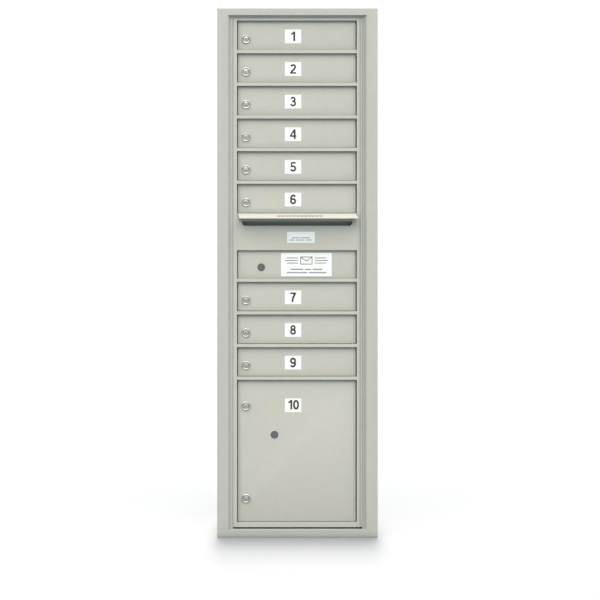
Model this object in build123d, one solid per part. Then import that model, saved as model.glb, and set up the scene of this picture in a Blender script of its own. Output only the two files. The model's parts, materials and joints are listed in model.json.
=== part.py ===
from build123d import *
import os

# Wall-recessed cluster mailbox unit, one column wide.
# Frame: X to the right as seen from the front, the front faces -Y, +Z up.
# Origin: middle of the trim's lower edge, on the wall plane (the back of the trim).
# All sizes in millimetres.

# ---- overall -------------------------------------------------------------
UNIT_WIDTH = 436.5
UNIT_HEIGHT = 1438.0
TRIM_PROJECTION = 19.0
CABINET_DEPTH = 413.0
PITCH = 88.9
SHEET = 2.0

# ---- trim ----------------------------------------------------------------
TRIM_FACE_SIDE = 30.0
TRIM_FACE_TOP = 19.0
TRIM_FACE_BOTTOM = 20.5
TRIM_BEVEL_SIDE = 6.5
TRIM_LIP_SIDE = 6.0
TRIM_LIP_TOP = 6.0
TRIM_LIP_BOTTOM = 1.5
TRIM_LIP_Y = -11.0
TRIM_CORNER_RADIUS = 1.5

# ---- cabinet -------------------------------------------------------------
CABINET_HALF_WIDTH = 198.0
CABINET_BOTTOM_Z = 18.0
CABINET_TOP_Z = 1420.0
CABINET_MOUTH_HALF_WIDTH = 176.5
CABINET_MOUTH_BOTTOM_Z = 22.5
CABINET_MOUTH_TOP_Z = 1413.5
ANCHOR_HOLE_RADIUS = 4.25
ANCHOR_FRONT_Y = 70.0
ANCHOR_SPACING_Y = 280.0
ANCHOR_LOW_Z = 124.9
ANCHOR_SPACING_Z = 1155.7
BACK_ANCHOR_HALF_SPACING_X = 150.0

# ---- master door ---------------------------------------------------------
MASTER_FACE_Y = -11.5
MASTER_BOTTOM_Z = 26.5
MASTER_TOP_Z = 1412.2
LEFT_FLANGE_OUTER_X = -175.0
LEFT_STILE_OUTER_X = -173.5
LEFT_STILE_INNER_X = -164.5
RIGHT_STILE_INNER_X = 161.5
RIGHT_STILE_OUTER_X = 171.5
STILE_BACK_Y = 14.0
STILE_WALL = 1.6
STRIKE_LIP_FRONT_Y = 8.0
STRIKE_LIP_THICKNESS = 2.0
STRIKE_LIP_WIDTH = 8.5
RAIL_HEIGHT = 8.9
RAIL_BACK_Y = 8.0
STACK_TOP_Z = 1405.6
PARCEL_OPENING_HEIGHT = 387.0

# ---- mail doors ----------------------------------------------------------
DOOR_LEFT_X = -162.4
DOOR_RIGHT_X = 158.7
DOOR_OPENING_HEIGHT = PITCH - RAIL_HEIGHT
DOOR_TOP_GAP = 0.8
DOOR_BOTTOM_GAP = 1.4
DOOR_EDGE_Y = -3.6
DOOR_FACE_Y = -5.0
DOOR_MARGIN = 8.0
DOOR_BACK_Y = 6.5
HINGE_ROD_X = 150.5
HINGE_ROD_Y = 1.5
HINGE_ROD_RADIUS = 2.4
RUNNING_CLEARANCE = 0.06
UPPER_DOORS = 6
DOORS = 9

# ---- locks ---------------------------------------------------------------
LOCK_X = -140.3
LOCK_BELOW_CELL_TOP = 49.8
LOCK_FLANGE_RADIUS = 12.0
LOCK_FLANGE_THICKNESS = 3.0
LOCK_BARREL_RADIUS = 9.5
LOCK_BARREL_BACK_Y = 10.5
LOCK_PLUG_RADIUS = 6.2
LOCK_PLUG_INSET = 0.5
CAM_FRONT_Y = 11.0
CAM_THICKNESS = 2.5
CAM_WIDTH = 12.0
CAM_REACH = 23.0
CAM_SCREW_RADIUS = 3.5
CAM_SCREW_HEIGHT = 2.0
KEYWAY_WIDTH = 1.6
KEYWAY_HEIGHT = 7.0
KEYWAY_DEPTH = 5.0

# ---- outgoing mail section -----------------------------------------------
SLOT_LEFT_X = -150.0
SLOT_RIGHT_X = 148.5
SLOT_BOTTOM_Z = 847.0
SLOT_TOP_Z = 859.5
SLOT_CHAMFER = 5.0
HOOD_TOP_Z = 879.7
HOOD_DROP = 14.2
HOOD_PROJECTION = 28.0
HOOD_TOP_LEFT_X = -160.0
HOOD_TOP_RIGHT_X = 159.0
HOOD_BOTTOM_LEFT_X = -157.0
HOOD_BOTTOM_RIGHT_X = 166.0
BAFFLE_X = (-153.0, 147.0)
BAFFLE_THICKNESS = 1.5
BAFFLE_FLANGE_Z = (866.0, 874.0)
BAFFLE_STAND_OFF = 11.0
BAFFLE_SLOPE_BACK = 14.0
BAFFLE_SLOPE_DOWN = 28.0
PLATE_CENTRE = (9.4, 815.0)
PLATE_SIZE = (75.5, 30.5)
PLATE_THICKNESS = 0.6

# ---- postal lock panel ---------------------------------------------------
POSTAL_TOP_Z = 780.4
POSTAL_GAP = 0.3
POSTAL_RIGHT_X = 158.5
POSTAL_FACE_Y = -6.0
POSTAL_HOLE = (-98.7, 733.9)
KEY_HOLE_RADIUS = 10.0
STUD_RADIUS = 2.5
STUD_LENGTH = 14.0
STUD_HALF_SPACING = (24.0, 20.0)

# ---- parcel door ---------------------------------------------------------
PARCEL_LOCK_Z = (356.3, 104.2)
PARCEL_HOLE = (-62.5, 277.9)

# ---- master hinge --------------------------------------------------------
MASTER_HINGE_X = 173.6
MASTER_HINGE_Y = -14.0
KNUCKLE_RADIUS = 2.1
MASTER_PIN_RADIUS = 1.0
HINGE_LEAF_THICKNESS = 1.2
HINGE_LEAF_BACK_Y = -1.0
DOOR_LEAF_BACK_Y = 10.0
KNUCKLES = 25
KNUCKLE_GAP = 0.4
HINGE_END_MARGIN = 1.5

# ---- latch ---------------------------------------------------------------
LATCH_LEFT_X = -171.0
LATCH_WIDTH = 10.0
LATCH_FRONT_Y = 16.2
LATCH_THICKNESS = 3.0
LATCH_BOTTOM_Z = 70.0
LATCH_TOP_Z = 1380.0
HOOK_Z = (170.0, 660.0, 1300.0)
HOOK_WIDTH = 8.0
HOOK_ARM_HEIGHT = 8.0
HOOK_BACK_Y = 28.0
HOOK_PRONG_THICKNESS = 3.0
HOOK_PRONG_DROP = 14.0
GUIDE_Z = (120.0, 740.0, 1180.0)
GUIDE_HEIGHT = 16.0
GUIDE_WALL = 1.4
GUIDE_CLEARANCE = 0.1
STRIKE_PLATE_Y = 20.5
STRIKE_PLATE_THICKNESS = 2.5
STRIKE_HEIGHT = 10.0

# ---- shelves -------------------------------------------------------------
SHELF_FRONT_Y = 30.0
SHELF_LIP = 8.0
SHELF_STEP_DOWN = 1.0
RIVET_RADIUS = 2.0
RIVET_HEAD_RADIUS = 4.0
RIVET_HEAD_HEIGHT = 1.2
RIVET_TAIL_RADIUS = 2.6
RIVET_TAIL_HEIGHT = 1.5
RIVET_BELOW_SHELF_TOP = 5.0
RIVET_Y = (60.0, 220.5, 381.0)


def block(x, y, z):
    """Solid box between the two limits given on each axis."""
    size = (x[1] - x[0], y[1] - y[0], z[1] - z[0])
    middle = ((x[0] + x[1]) / 2, (y[0] + y[1]) / 2, (z[0] + z[1]) / 2)
    return Pos(*middle) * Box(*size)


def rod_along_y(x, z, radius, y0, y1):
    """Round bar that runs front to back."""
    return Pos(x, (y0 + y1) / 2, z) * Rot(90, 0, 0) * Cylinder(radius, y1 - y0)


def rod_along_z(x, y, radius, z0, z1):
    """Upright round bar."""
    return Pos(x, y, (z0 + z1) / 2) * Cylinder(radius, z1 - z0)


def rod_along_x(y, z, radius, x0, x1):
    """Round bar that runs left to right."""
    return Pos((x0 + x1) / 2, y, z) * Rot(0, 90, 0) * Cylinder(radius, x1 - x0)


def upright_rectangle(x, z, y):
    """Rectangle in the plane at depth y, its normal facing forward (-Y)."""
    plane = Plane(origin=((x[0] + x[1]) / 2, y, (z[0] + z[1]) / 2), x_dir=(1, 0, 0), z_dir=(0, -1, 0))
    return plane * Rectangle(x[1] - x[0], z[1] - z[0])


def taper(x_front, z_front, y_front, x_back, z_back, y_back):
    """Straight-sided solid between a front rectangle and a back rectangle."""
    return loft([upright_rectangle(x_back, z_back, y_back), upright_rectangle(x_front, z_front, y_front)])


def one_solid(shape):
    """The shape as a single clean solid."""
    return shape.clean().solids()[0]


def grown(limits, amount):
    """Pair of limits moved outward by amount."""
    return (limits[0] - amount, limits[1] + amount)


# ---- levels of the openings ----------------------------------------------

def door_opening(number):
    """Bottom and top of a mail door's opening; doors 7 to 9 sit under the two-high outgoing section."""
    cells_above = number - 1 if number <= UPPER_DOORS else number + 1
    top = STACK_TOP_Z - cells_above * PITCH
    return (top - DOOR_OPENING_HEIGHT, top)


def parcel_opening():
    top = door_opening(DOORS)[0] - RAIL_HEIGHT
    return (top - PARCEL_OPENING_HEIGHT, top)


def outgoing_limits():
    """Bottom and top of the flush panel of the outgoing section."""
    return (POSTAL_TOP_Z, door_opening(UPPER_DOORS)[0])


def postal_opening():
    return (door_opening(UPPER_DOORS + 1)[1] + RAIL_HEIGHT, POSTAL_TOP_Z)


def shelf_tops():
    """Upper faces of the shelves: one under each mail door, the outgoing section and the parcel door."""
    bottoms = [door_opening(number)[0] for number in range(1, DOORS + 1)]
    bottoms += [postal_opening()[0], parcel_opening()[0]]
    return [bottom - SHELF_STEP_DOWN for bottom in sorted(bottoms)]


# ---- cabinet -------------------------------------------------------------

def rivet_holes(shelf_top):
    """Rivet holes of one shelf, through both sides of the cabinet."""
    outer = CABINET_HALF_WIDTH + SHEET
    z = shelf_top - RIVET_BELOW_SHELF_TOP
    return [rod_along_x(y, z, RIVET_RADIUS + RUNNING_CLEARANCE, -outer, outer) for y in RIVET_Y]


def cabinet_side(sign):
    """Side panel with a flange that turns in round the mouth, anchor holes and the shelves' rivet holes."""
    outer = CABINET_HALF_WIDTH
    wall = block((outer - SHEET, outer), (0, CABINET_DEPTH - SHEET), (CABINET_BOTTOM_Z, CABINET_TOP_Z))
    flange = block((CABINET_MOUTH_HALF_WIDTH, outer), (0, SHEET), (CABINET_BOTTOM_Z, CABINET_TOP_Z))
    side = wall + flange
    for y in (ANCHOR_FRONT_Y, ANCHOR_FRONT_Y + ANCHOR_SPACING_Y):
        for z in (ANCHOR_LOW_Z, ANCHOR_LOW_Z + ANCHOR_SPACING_Z):
            side -= rod_along_x(y, z, ANCHOR_HOLE_RADIUS, outer - 2 * SHEET, outer + SHEET)
    side -= [hole for top in shelf_tops() for hole in rivet_holes(top)]
    if sign < 0:
        side = mirror(side, Plane.YZ)
    return one_solid(side)


def cabinet_cap(plate_z, flange_z):
    """Top or bottom panel with its front flange."""
    inner = CABINET_HALF_WIDTH - SHEET
    plate = block((-inner, inner), (SHEET, CABINET_DEPTH - SHEET), plate_z)
    front = block((-CABINET_MOUTH_HALF_WIDTH, CABINET_MOUTH_HALF_WIDTH), (0, SHEET), flange_z)
    return one_solid(plate + front)


def cabinet_top():
    return cabinet_cap((CABINET_TOP_Z - SHEET, CABINET_TOP_Z), (CABINET_MOUTH_TOP_Z, CABINET_TOP_Z))


def cabinet_bottom():
    plate_z = (CABINET_BOTTOM_Z, CABINET_BOTTOM_Z + SHEET)
    return cabinet_cap(plate_z, (CABINET_BOTTOM_Z, CABINET_MOUTH_BOTTOM_Z))


def cabinet_back():
    width = (-CABINET_HALF_WIDTH, CABINET_HALF_WIDTH)
    back = block(width, (CABINET_DEPTH - SHEET, CABINET_DEPTH), (CABINET_BOTTOM_Z, CABINET_TOP_Z))
    for x in (-BACK_ANCHOR_HALF_SPACING_X, BACK_ANCHOR_HALF_SPACING_X):
        for z in (ANCHOR_LOW_Z, ANCHOR_LOW_Z + ANCHOR_SPACING_Z):
            back -= rod_along_y(x, z, ANCHOR_HOLE_RADIUS, CABINET_DEPTH - 2 * SHEET, CABINET_DEPTH + SHEET)
    return one_solid(back)


def trim_frame():
    """Formed ring: outer lip to the wall, flat face, side bevels, flat inner lip and a return to the cabinet."""
    half = UNIT_WIDTH / 2
    face_x = half - TRIM_FACE_SIDE
    face_z = (TRIM_FACE_BOTTOM, UNIT_HEIGHT - TRIM_FACE_TOP)
    lip_x = face_x - TRIM_BEVEL_SIDE
    mouth_x = lip_x - TRIM_LIP_SIDE
    mouth_z = (face_z[0] + TRIM_LIP_BOTTOM, face_z[1] - TRIM_LIP_TOP)
    past = 1.0

    ring = block((-half, half), (-TRIM_PROJECTION, 0), (0, UNIT_HEIGHT))
    long_edges = ring.edges().filter_by(Axis.Y) + ring.faces().sort_by(Axis.Y)[0].edges()
    ring = fillet(long_edges, TRIM_CORNER_RADIUS)
    bevel = taper((-face_x, face_x), face_z, -TRIM_PROJECTION, (-lip_x, lip_x), face_z, TRIM_LIP_Y)
    front_cut = block((-face_x, face_x), (-TRIM_PROJECTION - past, -TRIM_PROJECTION), face_z)
    mouth_cut = block((-mouth_x, mouth_x), (TRIM_LIP_Y, past), mouth_z)
    ring = ring - bevel - front_cut - mouth_cut

    hollow_z = (SHEET, UNIT_HEIGHT - SHEET)
    hollow = block(grown((-half, half), -SHEET), (-TRIM_PROJECTION + SHEET, past), hollow_z)
    kept_bevel = taper(grown((-face_x, face_x), SHEET), grown(face_z, SHEET), -TRIM_PROJECTION,
                       grown((-lip_x, lip_x), SHEET), grown(face_z, SHEET), TRIM_LIP_Y + SHEET)
    kept_return = block(grown((-mouth_x, mouth_x), SHEET), (TRIM_LIP_Y, 2 * past), grown(mouth_z, SHEET))
    hollow = hollow - kept_bevel - kept_return
    return one_solid(ring - hollow)


def shelf(top_z):
    """Flat shelf with a turned-down front lip and turned-down side lips."""
    inner = CABINET_HALF_WIDTH - SHEET
    back_y = CABINET_DEPTH - SHEET
    tray = block((-inner, inner), (SHELF_FRONT_Y, back_y), (top_z - SHEET, top_z))
    tray += block((-inner, inner), (SHELF_FRONT_Y, SHELF_FRONT_Y + SHEET), (top_z - SHELF_LIP, top_z))
    for sign in (-1, 1):
        edge = sorted((sign * (inner - SHEET), sign * inner))
        tray += block(edge, (SHELF_FRONT_Y, back_y), (top_z - SHELF_LIP, top_z))
    return one_solid(tray - rivet_holes(top_z))


def compartment_shelves():
    return Compound(children=[shelf(top) for top in shelf_tops()])


def rivet(sign, y, z):
    """Blind rivet through a cabinet side and a shelf's side lip, its domed head outside."""
    outer = CABINET_HALF_WIDTH
    inner = outer - 2 * SHEET
    head = rod_along_x(y, z, RIVET_HEAD_RADIUS, outer, outer + RIVET_HEAD_HEIGHT)
    head = fillet(head.edges().sort_by(Axis.X)[-1], RIVET_HEAD_HEIGHT * 0.8)
    body = head + rod_along_x(y, z, RIVET_RADIUS, inner, outer)
    body += rod_along_x(y, z, RIVET_TAIL_RADIUS, inner - RIVET_TAIL_HEIGHT, inner)
    if sign < 0:
        body = mirror(body, Plane.YZ)
    return one_solid(body)


def shelf_rivets():
    """Three rivets at each end of each shelf."""
    return Compound(children=[rivet(sign, y, top - RIVET_BELOW_SHELF_TOP)
                              for sign in (-1, 1) for top in shelf_tops() for y in RIVET_Y])


# ---- master door frame ---------------------------------------------------

def tube_stile(outer_x, inner_x):
    """Upright rectangular tube of the master door."""
    left, right = sorted((outer_x, inner_x))
    height = (MASTER_BOTTOM_Z, MASTER_TOP_Z)
    stile = block((left, right), (MASTER_FACE_Y, STILE_BACK_Y), height)
    front_edges = stile.edges().filter_by(Axis.Z).group_by(Axis.Y)[0]
    stile = fillet(front_edges, SHEET / 4)
    bore_y = (MASTER_FACE_Y + STILE_WALL, STILE_BACK_Y - STILE_WALL)
    bore = block((left + STILE_WALL, right - STILE_WALL), bore_y, grown(height, SHEET))
    return stile - bore


def master_left_stile():
    """Lock-side stile: a front flange covers most of the gap to the trim, the cams catch the lip behind."""
    stile = tube_stile(LEFT_STILE_OUTER_X, LEFT_STILE_INNER_X)
    flange_x = (LEFT_FLANGE_OUTER_X, LEFT_STILE_OUTER_X + STILE_WALL)
    flange_y = (MASTER_FACE_Y, MASTER_FACE_Y + STILE_WALL)
    stile += block(flange_x, flange_y, (MASTER_BOTTOM_Z, MASTER_TOP_Z))
    lip_y = (STRIKE_LIP_FRONT_Y, STRIKE_LIP_FRONT_Y + STRIKE_LIP_THICKNESS)
    stile += block((LEFT_STILE_INNER_X - STILE_WALL, LEFT_STILE_INNER_X + STRIKE_LIP_WIDTH), lip_y,
                   (parcel_opening()[0], STACK_TOP_Z))
    return one_solid(stile)


def master_right_stile():
    return one_solid(tube_stile(RIGHT_STILE_OUTER_X, RIGHT_STILE_INNER_X))


def rail(z0, z1):
    """Channel that is open at the back and fits between the stiles."""
    across = (LEFT_STILE_INNER_X, RIGHT_STILE_INNER_X)
    channel = block(across, (MASTER_FACE_Y, RAIL_BACK_Y), (z0, z1))
    channel -= block(grown(across, SHEET), (MASTER_FACE_Y + STILE_WALL, RAIL_BACK_Y + SHEET),
                     (z0 + STILE_WALL, z1 - STILE_WALL))
    return channel


def rod_bore(z0, z1):
    """Bore for a hinge rod."""
    return rod_along_z(HINGE_ROD_X, HINGE_ROD_Y, HINGE_ROD_RADIUS + RUNNING_CLEARANCE, z0, z1)


def master_top_rail():
    """Top rail; its lower flange holds the upper hinge rod, its upper flange closes over it."""
    top_rail = rail(STACK_TOP_Z, MASTER_TOP_Z)
    return one_solid(top_rail - rod_bore(STACK_TOP_Z - SHEET, MASTER_TOP_Z - STILE_WALL))


def master_bottom_rail():
    """Bottom rail; its upper flange holds the lower hinge rod."""
    top = parcel_opening()[0]
    bottom_rail = rail(MASTER_BOTTOM_Z, top)
    return one_solid(bottom_rail - rod_bore(MASTER_BOTTOM_Z + STILE_WALL, top + SHEET))


def master_cross_rails():
    """Rails between the openings, bored for the hinge rods."""
    numbers = [number for number in range(1, DOORS + 1) if number != UPPER_DOORS]
    lows = [door_opening(number)[0] - RAIL_HEIGHT for number in numbers]
    lows.append(postal_opening()[0] - RAIL_HEIGHT)
    rails = [one_solid(rail(low, low + RAIL_HEIGHT) - rod_bore(low - SHEET, low + RAIL_HEIGHT + SHEET))
             for low in sorted(lows)]
    return Compound(children=rails)


def slot_cut():
    """Letter slot with both lower corners chamfered."""
    corner_z = SLOT_BOTTOM_Z + SLOT_CHAMFER
    low_left_x = SLOT_LEFT_X + SLOT_CHAMFER
    low_right_x = SLOT_RIGHT_X - SLOT_CHAMFER
    outline = Polyline((SLOT_LEFT_X, SLOT_TOP_Z), (SLOT_RIGHT_X, SLOT_TOP_Z), (SLOT_RIGHT_X, corner_z),
                       (low_right_x, SLOT_BOTTOM_Z), (low_left_x, SLOT_BOTTOM_Z), (SLOT_LEFT_X, corner_z),
                       close=True)
    face = Plane(origin=(0, RAIL_BACK_Y, 0), x_dir=(1, 0, 0), z_dir=(0, -1, 0)) * make_face(outline)
    return extrude(face, 2 * RAIL_BACK_Y + 10)


def outgoing_mail_panel():
    """Panel flush with the stiles, with flanges above and below and the letter slot."""
    across = (LEFT_STILE_INNER_X, RIGHT_STILE_INNER_X)
    z0, z1 = outgoing_limits()
    panel = block(across, (MASTER_FACE_Y, MASTER_FACE_Y + SHEET), (z0, z1))
    for low in (z0, z1 - SHEET):
        panel += block(across, (MASTER_FACE_Y, RAIL_BACK_Y), (low, low + SHEET))
    panel -= slot_cut()
    return one_solid(panel - rod_bore(z1 - 2 * SHEET, z1 + SHEET))


def outgoing_mail_hood():
    """Sloping sheet over the slot, closed by a cheek at each end; the right end runs out past the opening."""
    def wedge(left_top, right_top, left_low, right_low, drop):
        """Solid wedge whose ends lean with the different lengths of its upper and lower edges."""
        top_z = HOOD_TOP_Z - drop
        low_z = top_z - HOOD_DROP
        front_y = MASTER_FACE_Y - HOOD_PROJECTION
        left = [Vector(left_top, MASTER_FACE_Y, top_z), Vector(left_low, front_y, low_z),
                Vector(left_top, MASTER_FACE_Y, low_z)]
        right = [Vector(right_top, MASTER_FACE_Y, top_z), Vector(right_low, front_y, low_z),
                 Vector(right_top, MASTER_FACE_Y, low_z)]
        quads = [[left[0], left[1], right[1], right[0]], [left[1], left[2], right[2], right[1]],
                 [left[2], left[0], right[0], right[2]]]
        faces = [Face(Wire.make_polygon(corners)) for corners in (left, right, *quads)]
        return Solid(Shell(faces))

    outer = wedge(HOOD_TOP_LEFT_X, HOOD_TOP_RIGHT_X, HOOD_BOTTOM_LEFT_X, HOOD_BOTTOM_RIGHT_X, 0)
    drop = 1.5 * SHEET
    inner = wedge(HOOD_TOP_LEFT_X + SHEET, HOOD_TOP_RIGHT_X - SHEET,
                  HOOD_BOTTOM_LEFT_X + SHEET, HOOD_BOTTOM_RIGHT_X - SHEET, drop)
    return one_solid(outer - inner)


def outgoing_slot_baffle():
    """Folded strip behind the slot: flange on the panel, short web, and a slope that turns letters down."""
    panel_y = MASTER_FACE_Y + SHEET
    web_y = panel_y + BAFFLE_STAND_OFF
    low_z, high_z = BAFFLE_FLANGE_Z
    t = BAFFLE_THICKNESS
    across = (BAFFLE_X[0], BAFFLE_X[1])
    flange = block(across, (panel_y, panel_y + t), (low_z, high_z))
    web = block(across, (panel_y, web_y), (low_z, low_z + t))
    end_y = web_y + BAFFLE_SLOPE_BACK
    end_z = low_z - BAFFLE_SLOPE_DOWN
    outline = Polyline((web_y - t, low_z + t), (web_y, low_z + t), (end_y + t, end_z), (end_y, end_z),
                       (web_y - t, low_z), close=True)
    side = Plane(origin=(across[0], 0, 0), x_dir=(0, 1, 0), z_dir=(1, 0, 0)) * make_face(outline)
    return one_solid(flange + web + extrude(side, across[1] - across[0]))


def outgoing_info_plate():
    """Small bare-metal plate below the slot."""
    x, z = PLATE_CENTRE
    width, height = PLATE_SIZE
    plate = block((x - width / 2, x + width / 2), (MASTER_FACE_Y - PLATE_THICKNESS, MASTER_FACE_Y),
                  (z - height / 2, z + height / 2))
    return one_solid(fillet(plate.edges().filter_by(Axis.Y), 1.5))


# ---- pans: doors and postal panel ----------------------------------------

def pan(x, z, edge_y, face_y, back_y):
    """Formed sheet pan: raised field, bevelled margin and four returns to the back."""
    field_x = grown(x, -DOOR_MARGIN)
    field_z = grown(z, -DOOR_MARGIN)
    skin = block(x, (edge_y, back_y), z)
    skin = fillet(skin.edges().filter_by(Axis.Y), 1.2)
    skin = skin + taper(field_x, field_z, face_y, x, z, edge_y + 0.4)
    inside_x = grown(x, -STILE_WALL)
    inside_z = grown(z, -STILE_WALL)
    cavity = block(inside_x, (edge_y + STILE_WALL, back_y + SHEET), inside_z)
    return skin - cavity


def door_leaf(opening, holes):
    """Door pan bored for its locks and for the hinge rod."""
    z = (opening[0] + DOOR_BOTTOM_GAP, opening[1] - DOOR_TOP_GAP)
    leaf = pan((DOOR_LEFT_X, DOOR_RIGHT_X), z, DOOR_EDGE_Y, DOOR_FACE_Y, DOOR_BACK_Y)
    leaf -= rod_bore(z[0] - SHEET, z[1] + SHEET)
    for x, level, radius in holes:
        leaf -= rod_along_y(x, level, radius, DOOR_FACE_Y - SHEET, DOOR_BACK_Y)
    return one_solid(leaf)


def postal_lock_panel():
    """Fixed pan with a wide back flange that is fastened round its opening."""
    opening = postal_opening()
    z = grown(opening, -POSTAL_GAP)
    panel = pan((DOOR_LEFT_X, POSTAL_RIGHT_X), z, POSTAL_FACE_Y + 1.4, POSTAL_FACE_Y, STRIKE_LIP_FRONT_Y)
    flange_y = (STRIKE_LIP_FRONT_Y - SHEET, STRIKE_LIP_FRONT_Y)
    flange = block((LEFT_STILE_INNER_X, RIGHT_STILE_INNER_X), flange_y, opening)
    inside_x = (DOOR_LEFT_X + STILE_WALL, POSTAL_RIGHT_X - STILE_WALL)
    flange -= block(inside_x, grown(flange_y, 1), grown(z, -STILE_WALL))
    panel += flange
    x, level = POSTAL_HOLE
    panel -= rod_along_y(x, level, KEY_HOLE_RADIUS, POSTAL_FACE_Y - SHEET, STRIKE_LIP_FRONT_Y)
    return one_solid(panel)


def postal_lock_studs():
    """Four studs behind the key hole for the postal lock."""
    x, z = POSTAL_HOLE
    front = POSTAL_FACE_Y + 1.4 + STILE_WALL
    studs = [one_solid(rod_along_y(x + i * STUD_HALF_SPACING[0], z + j * STUD_HALF_SPACING[1], STUD_RADIUS,
                                   front, front + STUD_LENGTH)) for i in (-1, 1) for j in (-1, 1)]
    return Compound(children=studs)


def key_hole_plug(x, z, face_y):
    """Press-in plug with a thin domed head."""
    stem = rod_along_y(x, z, KEY_HOLE_RADIUS - 0.1, face_y, face_y + 7)
    head = rod_along_y(x, z, KEY_HOLE_RADIUS + 0.4, face_y - 0.8, face_y)
    head = fillet(head.edges().sort_by(Axis.Y)[0], 0.6)
    return one_solid(stem + head)


# ---- locks ---------------------------------------------------------------

def lock_housing(z):
    """Round lock body: front flange with a chamfered rim, and a barrel through the door."""
    face = DOOR_FACE_Y - LOCK_FLANGE_THICKNESS
    flange = rod_along_y(LOCK_X, z, LOCK_FLANGE_RADIUS, face, DOOR_FACE_Y)
    flange = chamfer(flange.edges().sort_by(Axis.Y)[0], 1.2)
    housing = flange + rod_along_y(LOCK_X, z, LOCK_BARREL_RADIUS, DOOR_FACE_Y, LOCK_BARREL_BACK_Y)
    bore = rod_along_y(LOCK_X, z, LOCK_PLUG_RADIUS + RUNNING_CLEARANCE, face - 1, LOCK_BARREL_BACK_Y + 1)
    return one_solid(housing - bore)


def lock_plug(z):
    """Turning plug with a keyway, its cam and its screw behind; the cam hangs down when unlocked."""
    face = DOOR_FACE_Y - LOCK_FLANGE_THICKNESS + LOCK_PLUG_INSET
    plug = rod_along_y(LOCK_X, z, LOCK_PLUG_RADIUS, face, CAM_FRONT_Y)
    plug -= block((LOCK_X - KEYWAY_WIDTH / 2, LOCK_X + KEYWAY_WIDTH / 2), (face - 1, face + KEYWAY_DEPTH),
                  (z - KEYWAY_HEIGHT / 2, z + KEYWAY_HEIGHT / 2))
    cam_y = (CAM_FRONT_Y, CAM_FRONT_Y + CAM_THICKNESS)
    cam = block((LOCK_X - CAM_WIDTH / 2, LOCK_X + CAM_WIDTH / 2), cam_y, (z - CAM_REACH, z))
    cam = fillet(cam.edges().filter_by(Axis.Y).group_by(Axis.Z)[0], 3)
    cam += rod_along_y(LOCK_X, z, CAM_WIDTH / 2, *cam_y)
    cam += rod_along_y(LOCK_X, z, CAM_SCREW_RADIUS, cam_y[1], cam_y[1] + CAM_SCREW_HEIGHT)
    return one_solid(plug + cam)


# ---- hinges --------------------------------------------------------------

def hinge_rods():
    """Upper rod for doors 1 to 6, lower rod for doors 7 to 9 and the parcel door."""
    upper = rod_along_z(HINGE_ROD_X, HINGE_ROD_Y, HINGE_ROD_RADIUS,
                        outgoing_limits()[1] - 4 * SHEET, MASTER_TOP_Z - STILE_WALL)
    lower = rod_along_z(HINGE_ROD_X, HINGE_ROD_Y, HINGE_ROD_RADIUS,
                        MASTER_BOTTOM_Z + STILE_WALL, postal_opening()[0] - STILE_WALL)
    return Compound(children=[one_solid(upper), one_solid(lower)])


def knuckle_limits(index):
    """Bottom and top of one knuckle of the master hinge."""
    bottom = MASTER_BOTTOM_Z + HINGE_END_MARGIN
    length = (MASTER_TOP_Z - HINGE_END_MARGIN - bottom) / KNUCKLES
    return (bottom + index * length + KNUCKLE_GAP / 2, bottom + (index + 1) * length - KNUCKLE_GAP / 2)


def master_hinge_leaf(leaf_x, back_y, remainder):
    """Leaf of the continuous hinge with every second knuckle."""
    height = (knuckle_limits(0)[0], knuckle_limits(KNUCKLES - 1)[1])
    leaf = block(leaf_x, (MASTER_HINGE_Y, back_y), height)
    for index in range(KNUCKLES):
        bottom, top = knuckle_limits(index)
        if index % 2 == remainder:
            leaf += rod_along_z(MASTER_HINGE_X, MASTER_HINGE_Y, KNUCKLE_RADIUS, bottom, top)
        else:
            leaf -= rod_along_z(MASTER_HINGE_X, MASTER_HINGE_Y, KNUCKLE_RADIUS + KNUCKLE_GAP,
                                bottom - KNUCKLE_GAP, top + KNUCKLE_GAP)
    bore_radius = MASTER_PIN_RADIUS + RUNNING_CLEARANCE
    bore = rod_along_z(MASTER_HINGE_X, MASTER_HINGE_Y, bore_radius, 0, UNIT_HEIGHT)
    return one_solid(leaf - bore)


def master_hinge_frame_leaf():
    """Leaf on the trim's return."""
    outer = UNIT_WIDTH / 2 - TRIM_FACE_SIDE - TRIM_BEVEL_SIDE - TRIM_LIP_SIDE
    return master_hinge_leaf((outer - HINGE_LEAF_THICKNESS, outer), HINGE_LEAF_BACK_Y, 0)


def master_hinge_door_leaf():
    """Leaf on the outer wall of the right stile."""
    return master_hinge_leaf((RIGHT_STILE_OUTER_X, RIGHT_STILE_OUTER_X + HINGE_LEAF_THICKNESS),
                             DOOR_LEAF_BACK_Y, 1)


def master_hinge_pin():
    return one_solid(rod_along_z(MASTER_HINGE_X, MASTER_HINGE_Y, MASTER_PIN_RADIUS,
                                 knuckle_limits(0)[0], knuckle_limits(KNUCKLES - 1)[1]))


# ---- latch ---------------------------------------------------------------

def latch_bar():
    """Flat bar with three hooks, drawn up (released)."""
    right = LATCH_LEFT_X + LATCH_WIDTH
    back = LATCH_FRONT_Y + LATCH_THICKNESS
    bar = block((LATCH_LEFT_X, right), (LATCH_FRONT_Y, back), (LATCH_BOTTOM_Z, LATCH_TOP_Z))
    hook_x = (LATCH_LEFT_X, LATCH_LEFT_X + HOOK_WIDTH)
    for z in HOOK_Z:
        bar += block(hook_x, (LATCH_FRONT_Y, HOOK_BACK_Y), (z, z + HOOK_ARM_HEIGHT))
        bar += block(hook_x, (HOOK_BACK_Y - HOOK_PRONG_THICKNESS, HOOK_BACK_Y), (z - HOOK_PRONG_DROP, z))
    return one_solid(bar)


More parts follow.
